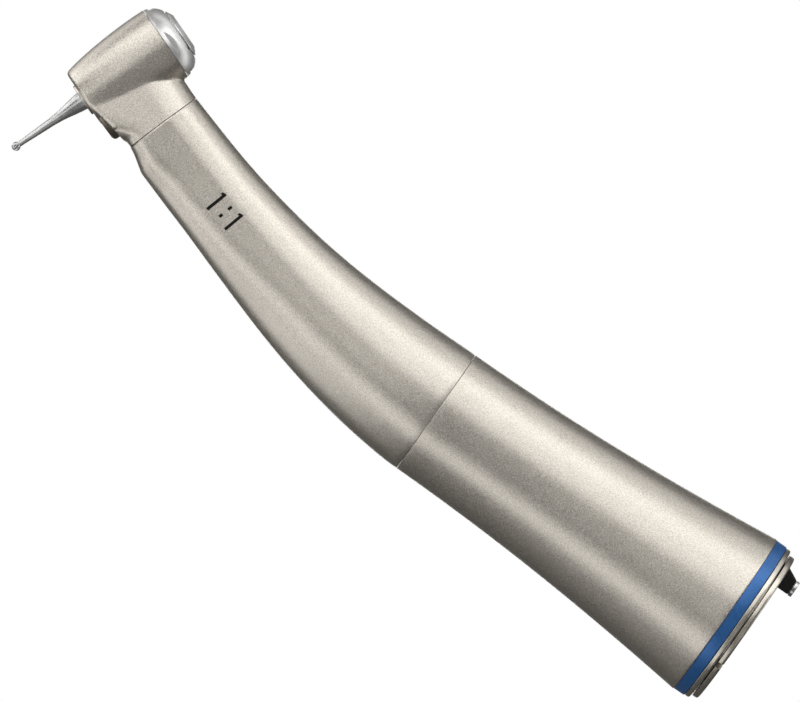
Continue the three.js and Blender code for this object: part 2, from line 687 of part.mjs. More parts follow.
add(headFrame, 'head_housing', headHousing(), 'titanium');
add(headFrame, 'head_cap', headCap(), 'steel');
add(headFrame, 'push_button', pushButton(), 'steel');
add(headFrame, 'button_spring', buttonSpring(), 'dark_steel');
add(headFrame, 'lower_bearing_cover', bearingCover(), 'steel');
add(headFrame, 'spray_light_nozzle', sprayLightNozzle(), 'dark_steel');
add(headFrame, 'light_window', lightBore(WINDOW.r, WINDOW.near, WINDOW.far), 'glass');

// ---------------------------------------------------------------- spindle and bur
const HEAD_BEARING = { inner: SPINDLE_R + FIT, outer: 3.1, width: 1.8, balls: 6 };

function spindleTube() {
  return turnedZ([
    [10.42, 1.22], [10.42, SPINDLE_R], [21.1, SPINDLE_R], [21.1, 1.38], [12, 1.38], [12, 1.22],
  ], 24);
}

function spindleGear() {
  const gear = bevelGear({
    ...headPair, bore: SPINDLE_R + FIT, hub: 2.1, back: 3.85, phase: 0.5,
  });
  return gear.rotateX(Math.PI).translate(0, 0, DRIVE_HEIGHT);
}

function chuckCollet() {
  const slits = [0, 1, 2].map((i) => {
    return block(0.5, 2, -0.15, 0.15, 11, 19).rotateZ((2 * Math.PI * i) / 3);
  });
  return cut(ringZ(12.05, 21.2, SHANK_R + 0.03, 1.35, 24), ...slits);
}

function bur() {
  const body = turnedZ([
    [-0.55, 0], [-0.48, 0.27], [-0.28, 0.47], [0, 0.55], [0.28, 0.47], [0.45, 0.325], [1.2, 0.34],
    [3.2, 0.435], [5, 0.5], [6, 0.6], [6.9, 0.73], [8, 0.93], [8.8, 1.06], [9.9, SHANK_R],
    [19.9, SHANK_R], [19.9, 0.9], [20.5, 0.9], [20.5, SHANK_R], [21.35, SHANK_R], [21.45, 1.05],
    [21.45, 0],
  ], 14);
  return cut(body, block(0.72, 2, -2, 2, 18.2, 22));
}

bearing(headFrame, 'lower_head_bearing', 11.38, HEAD_BEARING, false);
bearing(headFrame, 'upper_head_bearing', 20.1, HEAD_BEARING, false);
add(headFrame, 'spindle_tube', spindleTube(), 'steel');
add(headFrame, 'spindle_gear', spindleGear(), 'steel');
add(headFrame, 'chuck_collet', chuckCollet(), 'dark_steel');
add(headFrame, 'bur', bur(), 'steel');

export default handpiece;
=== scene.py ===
"""Looks of the contra-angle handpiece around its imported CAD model. Lengths are millimetres times MM."""

import json
import math

import bmesh
import bpy
import numpy as np
from mathutils import Matrix, Vector


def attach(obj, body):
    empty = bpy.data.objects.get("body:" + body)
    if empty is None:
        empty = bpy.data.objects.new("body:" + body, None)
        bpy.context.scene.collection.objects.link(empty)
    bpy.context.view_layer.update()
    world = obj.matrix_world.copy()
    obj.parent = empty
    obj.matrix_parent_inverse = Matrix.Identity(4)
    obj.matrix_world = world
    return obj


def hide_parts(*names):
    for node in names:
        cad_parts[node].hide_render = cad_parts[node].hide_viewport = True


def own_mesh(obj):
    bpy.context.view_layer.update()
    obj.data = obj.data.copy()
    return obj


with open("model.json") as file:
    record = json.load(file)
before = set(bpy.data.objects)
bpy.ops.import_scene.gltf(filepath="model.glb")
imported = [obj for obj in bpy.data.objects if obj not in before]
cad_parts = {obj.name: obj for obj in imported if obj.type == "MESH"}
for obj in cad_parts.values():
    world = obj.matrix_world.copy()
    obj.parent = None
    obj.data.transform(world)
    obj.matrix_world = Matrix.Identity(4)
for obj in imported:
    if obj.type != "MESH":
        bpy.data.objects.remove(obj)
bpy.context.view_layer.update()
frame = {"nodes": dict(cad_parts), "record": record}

# ---------------------------------------------------------------- sizes, in millimetres, as in the CAD
MM = 0.001
HEAD_TILT = math.radians(20.5)
SEAM_TILT = math.radians(18.2)
BEND_X = -61.2
DRIVE_LENGTH = 35.9
DRIVE_HEIGHT = 16.3
SLEEVE_REAR_X = -2.9
MID_SEAM_X = -43.5
MID_SEAM_R = 7.93
SLEEVE_REAR_R = 10.43
SLEEVE_WALL = 0.9
NECK_SEAM = (-88.2, 9.24)
NECK_SEAM_R = 4.7
NECK_WALL = 0.6
SEAM_GAP = 0.06
HEAD_FLOOR = 9.5
CAP_SEAM = 20.9
BUTTON_TOP = 23.4
ROUND = 160  # segments round a large visible piece

HEAD = Matrix.Translation((
    BEND_X - DRIVE_LENGTH * math.cos(HEAD_TILT) - DRIVE_HEIGHT * math.sin(HEAD_TILT),
    0.0,
    DRIVE_LENGTH * math.sin(HEAD_TILT) - DRIVE_HEIGHT * math.cos(HEAD_TILT),
)) @ Matrix.Rotation(HEAD_TILT, 4, "Y")
REST = Matrix.Identity(4)


# ---------------------------------------------------------------- mesh helpers
def bezier(p0, p1, p2, p3, t):
    """Points of a cubic curve at each t."""
    t = np.asarray(t, float)[..., None]
    p0, p1, p2, p3 = (np.asarray(p, float) for p in (p0, p1, p2, p3))
    return (1 - t) ** 3 * p0 + 3 * (1 - t) ** 2 * t * p1 + 3 * (1 - t) * t * t * p2 + t ** 3 * p3


def rounded(corners, steps=5):
    """An outline of (along, out, radius) corners with each corner rounded to its radius."""
    points = []
    count = len(corners)
    for i, (along, out, radius) in enumerate(corners):
        here = Vector((along, out))
        if radius <= 0:
            points.append(here)
            continue
        before = Vector(corners[i - 1][:2]) - here
        after = Vector(corners[(i + 1) % count][:2]) - here
        half = before.angle(after) / 2
        reach = min(radius / math.tan(half), before.length * 0.49, after.length * 0.49)
        start = here + before.normalized() * reach
        end = here + after.normalized() * reach
        for k in range(steps + 1):
            t = k / steps
            points.append(start * (1 - t) ** 2 + here * 2 * t * (1 - t) + end * t * t)
    return [(p.x, p.y) for p in points]


def mesh_object(name, vertices, faces, place=REST, sharp=32):
    """A shown piece from vertices in millimetres, placed by a matrix in millimetres."""
    mesh = bpy.data.meshes.new(name)
    moved = [tuple((place @ Vector(v)) * MM) for v in vertices]
    mesh.from_pydata(moved, [], faces)
    mesh.validate()
    return finished(name, mesh, sharp)


def finished(name, mesh, sharp=32):
    """Cleans a mesh, smooths it except over edges sharper than so many degrees, and shows it."""
    bm = bmesh.new()
    bm.from_mesh(mesh)
    bmesh.ops.remove_doubles(bm, verts=bm.verts, dist=1e-7)
    bmesh.ops.recalc_face_normals(bm, faces=bm.faces)
    bm.to_mesh(mesh)
    bm.free()
    mesh.polygons.foreach_set("use_smooth", [True] * len(mesh.polygons))
    mesh.set_sharp_from_angle(angle=math.radians(sharp))
    piece = bpy.data.objects.new(name, mesh)
    bpy.context.scene.collection.objects.link(piece)
    return piece


def lathe(name, outline, axis="X", place=REST, segments=ROUND, closed=True, sharp=32):
    """A turned piece. The outline lists (along, out); a closed one returns to its first point."""
    vertices = []
    faces = []
    count = len(outline)
    for k in range(segments):
        a = 2 * math.pi * k / segments
        for along, out in outline:
            u, v = out * math.cos(a), out * math.sin(a)
            vertices.append((along, u, v) if axis == "X" else (u, v, along))
    for k in range(segments):
        n = (k + 1) % segments
        for i in range(count if closed else count - 1):
            j = (i + 1) % count
            quad = [k * count + i, k * count + j, n * count + j, n * count + i]
            faces.append(quad)
    return mesh_object(name, vertices, faces, place, sharp)


def boolean(piece, tool):
    """Cuts the tool out of the piece for good, and removes the tool."""
    modifier = piece.modifiers.new("cut", "BOOLEAN")
    modifier.operation = "DIFFERENCE"
    modifier.solver = "EXACT"
    modifier.object = tool
    apply_modifiers(piece)
    bpy.data.objects.remove(tool)


def apply_modifiers(piece):
    """Replaces the piece's mesh by the one that its modifiers make."""
    depsgraph = bpy.context.evaluated_depsgraph_get()
    mesh = bpy.data.meshes.new_from_object(piece.evaluated_get(depsgraph))
    piece.modifiers.clear()
    old = piece.data
    piece.data = mesh
    bpy.data.meshes.remove(old)
    piece.data.polygons.foreach_set("use_smooth", [True] * len(mesh.polygons))
    piece.data.set_sharp_from_angle(angle=math.radians(32))


def box_tool(x0, x1, y0, y1, z0, z1, place=REST):
    """A block for cutting."""
    corners = [(x, y, z) for x in (x0, x1) for y in (y0, y1) for z in (z0, z1)]
    faces = [(0, 1, 3, 2), (4, 6, 7, 5), (0, 4, 5, 1), (2, 3, 7, 6), (0, 2, 6, 4), (1, 5, 7, 3)]
    return mesh_object("tool", corners, faces, place)


def circle(r, z, segments):
    """A ring of points round the Z axis."""
    turns = (2 * math.pi * k / segments for k in range(segments))
    return [(r * math.cos(a), r * math.sin(a), z) for a in turns]


def ring_object(name, rows, place=REST, sharp=32, loop=False):
    """A closed piece from rings of points. The last ring joins the first, or both are filled."""
    count = len(rows[0])
    vertices = [tuple(p) for row in rows for p in row]
    faces = []
    for r in range(len(rows) if loop else len(rows) - 1):
        n = (r + 1) % len(rows)
        for i in range(count):
            j = (i + 1) % count
            faces.append([r * count + i, r * count + j, n * count + j, n * count + i])
    if not loop:
        faces.append(list(range(count)))
        faces.append(list(range((len(rows) - 1) * count, len(rows) * count)))
    return mesh_object(name, vertices, faces, place, sharp)


# ---------------------------------------------------------------- materials
def node_material(name, build):
    """A material whose nodes are made by build, which gets the place on the piece in metres."""
    material = bpy.data.materials.new(name)
    material.use_nodes = True
    nodes = material.node_tree.nodes
    links = material.node_tree.links
    shader = nodes["Principled BSDF"]
    coordinates = nodes.new("ShaderNodeTexCoord")
    build(nodes, links, shader, coordinates.outputs["Object"])
    return material


def noise(nodes, links, vector, scale, detail=2.0, rough=0.5):
    texture = nodes.new("ShaderNodeTexNoise")
    texture.inputs["Scale"].default_value = scale
    texture.inputs["Detail"].default_value = detail
    texture.inputs["Roughness"].default_value = rough
    links.new(vector, texture.inputs["Vector"])
    return texture.outputs["Fac"]


def ramp(nodes, links, value, low, high, start=0.3, end=0.7):
    """Maps a value between start and end onto two grey levels or two colours."""
    mapped = nodes.new("ShaderNodeValToRGB")
    low = (low,) * 3 if isinstance(low, float) else low
    high = (high,) * 3 if isinstance(high, float) else high
    mapped.color_ramp.elements[0].position = start
    mapped.color_ramp.elements[0].color = (*low, 1)
    mapped.color_ramp.elements[1].position = end
    mapped.color_ramp.elements[1].color = (*high, 1)
    links.new(value, mapped.inputs["Fac"])
    return mapped.outputs["Color"]


def bump(nodes, links, shader, height, depth, strength=1.0):
    node = nodes.new("ShaderNodeBump")
    node.inputs["Strength"].default_value = strength
    node.inputs["Distance"].default_value = depth * MM
    links.new(height, node.inputs["Height"])
    links.new(node.outputs["Normal"], shader.inputs["Normal"])


def blasted_titanium(tone_low, tone_high, rough_low, rough_high, grain_depth):
    """Fine blasted metal: grain in the colour, the roughness and the surface."""
    def build(nodes, links, shader, place):
        grain = noise(nodes, links, place, 8500.0, 1.0, 0.6)
        cloud = noise(nodes, links, place, 260.0, 3.0, 0.55)
        mix = nodes.new("ShaderNodeMix")
        mix.data_type = "RGBA"
        mix.blend_type = "MULTIPLY"
        mix.inputs["Factor"].default_value = 0.55
        links.new(ramp(nodes, links, grain, tone_low, tone_high, 0.36, 0.64), mix.inputs["A"])
        links.new(ramp(nodes, links, cloud, 0.95, 1.0), mix.inputs["B"])
        links.new(mix.outputs["Result"], shader.inputs["Base Color"])
        links.new(ramp(nodes, links, grain, rough_low, rough_high), shader.inputs["Roughness"])
        shader.inputs["Metallic"].default_value = 1.0
        bump(nodes, links, shader, grain, grain_depth)
    return build


def turned_metal(tone_low, tone_high, rough_low, rough_high, stretch=(60.0, 9000.0, 9000.0), metallic=1.0):
    """Machined metal: fine marks that follow the turning, along the stretched coordinates."""
    def build(nodes, links, shader, place):
        mapping = nodes.new("ShaderNodeMapping")
        mapping.inputs["Scale"].default_value = stretch
        links.new(place, mapping.inputs["Vector"])
        marks = noise(nodes, links, mapping.outputs["Vector"], 1.0, 3.0, 0.6)
        smear = noise(nodes, links, place, 700.0, 2.0, 0.5)
        links.new(ramp(nodes, links, smear, tone_low, tone_high), shader.inputs["Base Color"])
        links.new(ramp(nodes, links, marks, rough_low, rough_high), shader.inputs["Roughness"])
        shader.inputs["Metallic"].default_value = metallic
        bump(nodes, links, shader, marks, 0.0015, 0.6)
    return build


def dull_coat(tone_low, tone_high, rough_low, rough_high, scale, depth, metallic=0.0, shine=0.5):
    """Moulded or anodised surface with a fine even grain."""
    def build(nodes, links, shader, place):
        grain = noise(nodes, links, place, scale, 3.0, 0.6)
        links.new(ramp(nodes, links, grain, tone_low, tone_high), shader.inputs["Base Color"])
        links.new(ramp(nodes, links, grain, rough_low, rough_high), shader.inputs["Roughness"])
        shader.inputs["Metallic"].default_value = metallic
        shader.inputs["Specular IOR Level"].default_value = shine
        bump(nodes, links, shader, grain, depth)
    return build


def optic_glass(nodes, links, shader, place):
    grain = noise(nodes, links, place, 3000.0, 2.0, 0.5)
    links.new(ramp(nodes, links, grain, (0.80, 0.84, 0.80), (0.93, 0.95, 0.92)), shader.inputs["Base Color"])
    links.new(ramp(nodes, links, grain, 0.05, 0.12), shader.inputs["Roughness"])
    shader.inputs["Transmission Weight"].default_value = 0.75
    shader.inputs["IOR"].default_value = 1.52


MATERIALS = {
    "satin_titanium": node_material("satin_titanium", blasted_titanium(
        (0.40, 0.38, 0.345), (0.70, 0.665, 0.61), 0.30, 0.46, 0.009)),
    "satin_ring_metal": node_material("satin_ring_metal", turned_metal(
        (0.52, 0.49, 0.44), (0.62, 0.59, 0.53), 0.26, 0.40)),
    "blue_ring": node_material("blue_ring", dull_coat(
        (0.022, 0.115, 0.34), (0.032, 0.145, 0.42), 0.30, 0.40, 2600.0, 0.002, 0.4)),
    "polished_steel": node_material("polished_steel", turned_metal(
        (0.50, 0.51, 0.52), (0.60, 0.61, 0.62), 0.22, 0.32, metallic=0.85)),
    "cap_steel": node_material("cap_steel", turned_metal(
        (0.66, 0.67, 0.68), (0.74, 0.75, 0.76), 0.34, 0.42, metallic=0.78)),
    "machined_steel": node_material("machined_steel", turned_metal(
        (0.38, 0.38, 0.39), (0.50, 0.50, 0.51), 0.24, 0.40)),
    "hardened_steel": node_material("hardened_steel", turned_metal(
        (0.30, 0.30, 0.31), (0.42, 0.42, 0.43), 0.20, 0.34)),
    "spring_steel": node_material("spring_steel", turned_metal(
        (0.24, 0.24, 0.25), (0.34, 0.34, 0.35), 0.28, 0.40)),
    "bearing_cage": node_material("bearing_cage", turned_metal(
        (0.50, 0.36, 0.15), (0.62, 0.47, 0.22), 0.25, 0.40)),
    # nozzle_metal is the body's blasted titanium with its tones about halved: painted shade on the outlet
    # under the stub
    "nozzle_metal": node_material("nozzle_metal", blasted_titanium(
        (0.20, 0.175, 0.145), (0.34, 0.305, 0.26), 0.34, 0.46, 0.003)),
    "black_polymer": node_material("black_polymer", dull_coat(
        (0.006, 0.006, 0.006), (0.014, 0.013, 0.013), 0.38, 0.55, 4200.0, 0.004, shine=0.3)),
    "optic_glass": node_material("optic_glass", optic_glass),
    "laser_mark": node_material("laser_mark", dull_coat(
        (0.006, 0.006, 0.005), (0.012, 0.011, 0.010), 0.60, 0.75, 6000.0, 0.002, shine=0.1)),
}


def dress(piece, slot, body="housing", replaced=(), material=None):
    """Gives a piece its material, hangs it on the body it rides on and hides the CAD nodes it stands for."""
    piece.data.materials.clear()
    piece.data.materials.append(MATERIALS[material or slot])
    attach(piece, body)
    if replaced:
        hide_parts(*replaced)
    return piece


def dress_cad_nodes():
    """Every CAD node gets its slot's node material, also those that a piece stands for."""
    slot_of = {row["node"]: row["material_slot"] for row in frame["record"]["subparts"]}
    for name, node in frame["nodes"].items():
        for material_slot in node.material_slots:
            material_slot.material = MATERIALS[slot_of[name]]


# ---------------------------------------------------------------- sleeves
GRIP_LINE = ((MID_SEAM_X, MID_SEAM_R), (-27, MID_SEAM_R), (-14, 9.2), (SLEEVE_REAR_X, SLEEVE_REAR_R))


def grip_sleeve():
    line = bezier(*GRIP_LINE, np.linspace(0, 1, 44)).tolist()
    outer = [(x, r, 0) for x, r in line[1:-1]]
    inner = [(x, r - SLEEVE_WALL, 0) for x, r in line[-2:1:-5]]
    front_x = MID_SEAM_X + SEAM_GAP / 2
    return lathe("grip_shell", rounded([
        (front_x, MID_SEAM_R, 0.05), *outer, (SLEEVE_REAR_X, SLEEVE_REAR_R, 0.17),
        (SLEEVE_REAR_X, SLEEVE_REAR_R - SLEEVE_WALL, 0.05), *inner,
        (front_x, MID_SEAM_R - SLEEVE_WALL, 0.05),
    ]))


NECK_CENTRE = (
    (MID_SEAM_X, 0.0),
    (MID_SEAM_X - 8.9, 0.0),
    (NECK_SEAM[0] + 23 * math.cos(SEAM_TILT), NECK_SEAM[1] - 23 * math.sin(SEAM_TILT)),
    NECK_SEAM,
)


def curve_length(points):
    return float(np.linalg.norm(np.diff(points, axis=0), axis=1).sum())


NECK_LENGTH = curve_length(bezier(*NECK_CENTRE, np.linspace(0, 1, 400)))
NECK_LINE = ((0, MID_SEAM_R), (11, MID_SEAM_R), (28, 5.15), (NECK_LENGTH, NECK_SEAM_R))
NECK_BELLY = (0.58, 0.14)  # added along most of the neck, then near the head
NECK_BROW = 0.2
NECK_KEEL = (0.8, 1.4)  # the same for the exponent of its lower half
PAD_HEIGHT = 0.05


def neck_frame(t):
    """Centre and upward normal of the centreline at t, from the mid seam (0) to the head's seam (1)."""
    step = 1e-4
    here, ahead, behind = bezier(*NECK_CENTRE, [t, t + step, t - step])
    direction = (ahead - behind) / np.linalg.norm(ahead - behind)
    return here, np.array([direction[1], -direction[0]])


def smooth_step(value, low, high):
    v = np.clip((value - low) / (high - low), 0, 1)
    return v * v * (3 - 2 * v)


def neck_belly(t):
    """How much more than round the neck reaches below its centreline."""
    belly = NECK_BELLY[0] * smooth_step(t, 0.08, 0.6) + NECK_BELLY[1] * smooth_step(t, 0.8, 0.92)
    return belly * (1 - 0.9 * smooth_step(t, 0.95, 1))


def neck_brow(t):
    """How much less than round it reaches above its centreline."""
    return NECK_BROW * smooth_step(t, 0.3, 0.68) * (1 - smooth_step(t, 0.8, 1))


def pad(t, angle):
    """Height of the low pad under the neck, just behind the seam with the head."""
    behind_seam = (1 - t) * NECK_LENGTH
    along = smooth_step(behind_seam, 1.8, 2.0) * (1 - smooth_step(behind_seam, 2.4, 4.4))
    return PAD_HEIGHT * along * smooth_step(-math.cos(angle), 0.8, 0.95)


def keel(t):
    """Exponent of the neck's lower half: 2 is round, more is steeper sided with a tighter turn below."""
    return 2 + NECK_KEEL[0] * smooth_step(t, 0.55, 0.9) + NECK_KEEL[1] * smooth_step(t, 0.9, 1)


def neck_point(t, angle, lift=0.0):
    """A point on the neck at t and an angle from its top; lift is its height over the surface."""
    centre, up = neck_frame(t)
    r = bezier(*NECK_LINE, [t])[0][1] + lift
    deep = r - neck_brow(t) if math.cos(angle) > 0 else r + neck_belly(t)
    if lift >= 0:
        deep += pad(t, angle)
    power = 1 if math.cos(angle) > 0 else 2 / keel(t)
    rise = deep * math.copysign(abs(math.cos(angle)) ** power, math.cos(angle))
    across = r * math.copysign(abs(math.sin(angle)) ** power, math.sin(angle))
    return (centre[0] + up[0] * rise, across, centre[1] + up[1] * rise)


def neck_sleeve():
    edge = SEAM_GAP / 2 / NECK_LENGTH
    spread = np.linspace(0, 1, 70)
    near_head = 1 - np.linspace(0.1, 0, 60) - edge
    stations = np.concatenate([edge + spread * (0.9 - 2 * edge), near_head])
    angles = [2 * math.pi * k / ROUND for k in range(ROUND)]
    chamfer = 0.05
    rows = [[neck_point(stations[0], a, -chamfer) for a in angles]]
    rows += [[neck_point(t, a) for a in angles] for t in stations[1:-1]]
    rows += [[neck_point(stations[-1], a, -chamfer) for a in angles]]
    rows += [[neck_point(t, a, -NECK_WALL) for a in angles] for t in np.linspace(1 - edge, edge, 30)]
    return ring_object("neck_shell", rows, loop=True)


# ---------------------------------------------------------------- ratio mark
MARK_T = 0.804
MARK_LOW = 0.35  # how far its middle is below the neck's centreline
MARK_HEIGHT = 2.0
MARK_STROKE = 0.36
MARK_PITCH = 3.05
DIGIT_ONE = ((-0.18, 0), (0.18, 0), (0.18, MARK_HEIGHT), (-0.08, MARK_HEIGHT),
             (-0.4, 1.84), (-0.4, 1.54), (-0.18, 1.6))
MARK_SLICE = 0.15  # longest straight step of the mark on the curved neck
MARK_LIFT = 0.012
MARK_ROOT = -0.05
# millimetres along the centreline for a step of one in t, near the mark
MARK_STRETCH = curve_length(bezier(*NECK_CENTRE, np.array([MARK_T - 0.05, MARK_T, MARK_T + 0.05]))) / 0.1


def dot(low):
    """Outline of one dot of the colon, from its lower edge."""
    half = MARK_STROKE / 2
    return ((-half, low), (half, low), (half, low + MARK_STROKE), (-half, low + MARK_STROKE))


def printed(name, outline, along):
    """A thin mark that follows the near side of the neck. The outline lists (rearward, up)."""
    bm = bmesh.new()
    bm.faces.new([bm.verts.new((x + along, y, 0)) for x, y in outline])
    for k in range(-20, 40):
        for normal in ((1, 0, 0), (0, 1, 0)):
            point = Vector(normal) * k * MARK_SLICE
            bmesh.ops.bisect_plane(bm, geom=bm.verts[:] + bm.edges[:] + bm.faces[:],
                                   plane_co=point, plane_no=normal)
    top = bmesh.ops.extrude_face_region(bm, geom=bm.faces[:])["geom"]
    raised = {v for v in top if isinstance(v, bmesh.types.BMVert)}
    for v in bm.verts:
        t = MARK_T - v.co.x / MARK_STRETCH
        r = bezier(*NECK_LINE, [t])[0][1]
        angle = -math.pi / 2 + (v.co.y - MARK_HEIGHT / 2 - MARK_LOW) / r
        v.co = Vector(neck_point(t, angle, MARK_LIFT if v in raised else MARK_ROOT)) * MM
    mesh = bpy.data.meshes.new(name)
    bm.to_mesh(mesh)
    bm.free()
    return finished(name, mesh)


def ratio_mark():
    """The generic direct-drive ratio, one to one."""
    marks = {
        "mark_first_one": (DIGIT_ONE, -MARK_PITCH / 2),
        "mark_upper_dot": (dot(1.25), 0.0),
        "mark_lower_dot": (dot(0.4), 0.0),
        "mark_second_one": (DIGIT_ONE, MARK_PITCH / 2),
    }
    for name, (outline, along) in marks.items():
        dress(printed(name, outline, along), "black_polymer", material="laser_mark")


# ---------------------------------------------------------------- rear end
LIGHT_ROD_Z = 6.88
HOLDER = {"half_width": 1.3, "low": 5.95, "high": 8.6, "tip_high": 7.85, "front": -6, "rear": 1.6}


def holder_pocket():
    w = HOLDER["half_width"] + 0.06
    return box_tool(-9, 0.5, -w, w, HOLDER["low"] - 0.06, HOLDER["high"] + 0.1)


def colour_ring():
    return lathe("colour_ring", rounded([
        (-2.89, 8.9, 0.03), (-2.89, 10.36, 0.02), (-1.52, 10.34, 0.1), (-1.52, 8.9, 0.03),
    ]))


SLOT_TURNS = (math.radians(212.3), math.radians(32.3))


def spanner_slots(front, high):
    """Two tools for the slots on opposite sides of the rear end."""
    return [box_tool(front, 0.3, 8.1, high, -0.4, 0.4, Matrix.Rotation(turn, 4, "X")) for turn in SLOT_TURNS]


def rear_flange():
    piece = lathe("flange_shell", rounded([
        (-8, 6.4, 0.1), (-8, 8.8, 0.1), (-1.48, 8.8, 0), (-1.48, 10.25, 0.08), (-0.88, 10.25, 0.2),
        (-0.88, 7.65, 0.05), (-4.1, 7.65, 0.05), (-4.1, 6.4, 0.05),
    ]))
    boolean(piece, holder_pocket())
    for tool in spanner_slots(-1.4, 9.75):
        boolean(piece, tool)
    return piece


def end_ring():
    piece = lathe("end_ring_shell", rounded([
        (-4, 6.4, 0.05), (-4, 7.6, 0.05), (-0.7, 7.6, 0), (-0.7, 9.8, 0.06), (0, 9.8, 0.62),
        (0, 8.75, 0.05), (-0.12, 8.65, 0.05), (-0.12, 7.9, 0.05), (0, 7.8, 0.05), (0, 6.4, 0.12),
    ], 7))
    boolean(piece, holder_pocket())
    for tool in spanner_slots(-0.9, 11):
        boolean(piece, tool)
    return piece


def coupling_sleeve():
    piece = lathe("coupling_shell", rounded([
        (-27, 2.5, 0.05), (-27, 5.8, 0.1), (-9, 5.8, 0), (-7, 6.3, 0), (-0.3, 6.3, 0.05),
        (-0.3, 5.9, 0.05), (-0.8, 5.6, 0.05), (-5, 5.6, 0.1), (-7, 5.0, 0.1), (-15.4, 5.0, 0.04),
        (-15.4, 5.35, 0), (-16.4, 5.35, 0), (-16.4, 5.0, 0.04), (-24.5, 5.0, 0), (-24.5, 2.5, 0.05),
    ]))
    boolean(piece, holder_pocket())
    return piece


def lock_ring():
    piece = lathe("lock_ring_wire", rounded([
        (-16.3, 4.85, 0.1), (-16.3, 5.28, 0.08), (-15.5, 5.28, 0.08), (-15.5, 4.85, 0.1),
    ]))
    boolean(piece, box_tool(-17, -15, -1, 1, -6, -4))
    return piece


def drive_dog():
    piece = lathe("drive_dog_shell", rounded([
        (-26.4, 1.22, 0.05), (-26.4, 2.2, 0.1), (-21, 2.2, 0.1), (-20.7, 1.9, 0.1), (-20.7, 1.22, 0.1),
    ]), segments=96)
    boolean(piece, box_tool(-23.4, -20, -0.8, 0.8, -3, 3))
    return piece


def light_holder():
    """The black wedge that carries the end of the light rod, with its long edges rounded off."""
    side = rounded([
        (HOLDER["front"], HOLDER["low"], 0.1), (HOLDER["rear"], HOLDER["low"], 0.18),
        (HOLDER["rear"], HOLDER["tip_high"], 0.3), (0.1, HOLDER["high"], 0.35),
        (HOLDER["front"], HOLDER["high"], 0.1),
    ])
    edge = 0.16
    middle = np.mean(side, axis=0)
    rows = []
    for k in range(-6, 7):
        across = abs(k) / 6
        inset = edge * (1 - math.cos(math.pi / 2 * max(0, across - 0.4) / 0.6))
        width = HOLDER["half_width"] * math.sin(math.pi / 2 * across) * (1 if k > 0 else -1)
        rows.append([(x - inset * np.sign(x - middle[0]), width, z - inset * np.sign(z - middle[1]))
                     for x, z in side])
    piece = ring_object("holder_wedge", rows)
    boolean(piece, lathe("tool", [(-7, 0), (-7, 0.9), (3, 0.9), (3, 0)],
                         place=Matrix.Translation((0, 0, LIGHT_ROD_Z)), segments=48, closed=False))
    return piece


def ferrule():
    place = Matrix.Translation((0, 0, LIGHT_ROD_Z))
    return lathe("ferrule_ring", rounded([
        (1.63, 0.84, 0.03), (1.63, 0.98, 0.08), (2.08, 0.98, 0.1), (2.08, 0.84, 0.05),
    ]), place=place, segments=96)


def rod_tip():
    """The light rod's polished end, slightly domed."""
    place = Matrix.Translation((0, 0, LIGHT_ROD_Z))
    dome = [(2.02 + 0.05 * math.cos(a), 0.8 * math.sin(a)) for a in np.linspace(0, math.pi / 2, 8)]
    return lathe("rod_tip", [*dome, (1.6, 0.8), (1.6, 0)], place=place, segments=64, closed=False)


# ---------------------------------------------------------------- head
BARREL_LINE = ((10.1, 3.8), (12.4, 4.36), (17.5, 4.77), (20.75, 4.62))
STUB_SIDE = 3.6
STUB_HIGH = 4.6
STUB_LOW = 9.0
STUB_AXIS = 15.6
STUB_FLOOR = ((0, 9.6), (2.4, 9.6), (4.0, 10.6), (7.674, 10.55))
FILLET = 0.3  # between barrel and stub
HEAD_BORES = ((10.4, 22, 3.2), (9, 10.5, 2.65), (19.6, 22, 4.0))  # low, high and radius, each a step
STUB_BORE = {"length": 14, "r": 3.0, "z": 16.3}
OUTLET = {"front": 2.0, "rear": 5.85, "half_width": 2.9, "low": 9.55, "rise": 0.03, "top": 11.9, "side": 3.95}
LIGHT_AIM = math.atan2(4.85, 10.95)
WINDOW_R = 0.66
SPRAY_HOLE = {"x": 4.6, "y": 1.35, "r": 0.17}


def smooth_max(a, b, k):
    h = np.clip(0.5 + 0.5 * (a - b) / k, 0, 1)
    return b + (a - b) * h + k * h * (1 - h)


def smooth_min(a, b, k):
    return -smooth_max(-a, -b, k)


def barrel_field(p):
    """Roughly the distance outside the head's barrel, which has no top here."""
    line = bezier(*BARREL_LINE, np.linspace(0, 1, 60))
    side = np.interp(p[:, 2], line[:, 0], line[:, 1])
    low = p[:, 2] < line[0, 0]
    side[low] = line[0, 1] - 0.25 * (line[0, 0] - p[low, 2])
    return smooth_max(np.hypot(p[:, 0], p[:, 1]) - side, HEAD_FLOOR - p[:, 2], 0.45)


def stub_reach(t):
    """How far the stub reaches sideways, up and down at t, from its seam (0) to the head axis (1)."""
    t = np.clip(t, 0, 1)
    side = NECK_SEAM_R + (STUB_SIDE - NECK_SEAM_R) * t
    high = NECK_SEAM_R + (STUB_HIGH - NECK_SEAM_R) * t
    low = NECK_SEAM_R + (STUB_LOW - NECK_SEAM_R) * smooth_step(t, 0.02, 0.65)
    return side, high, low


def stub_centre(x, seam):
    """Height of the stub's centreline, which runs straight on past the seam."""
    t = 1 - x / seam.x
    lean = SEAM_TILT - HEAD_TILT
    past = np.minimum(t, 0) * seam.x * math.tan(lean)
    return seam.z + (STUB_AXIS - seam.z) * np.clip(t, 0, 1) ** 1.2 + past


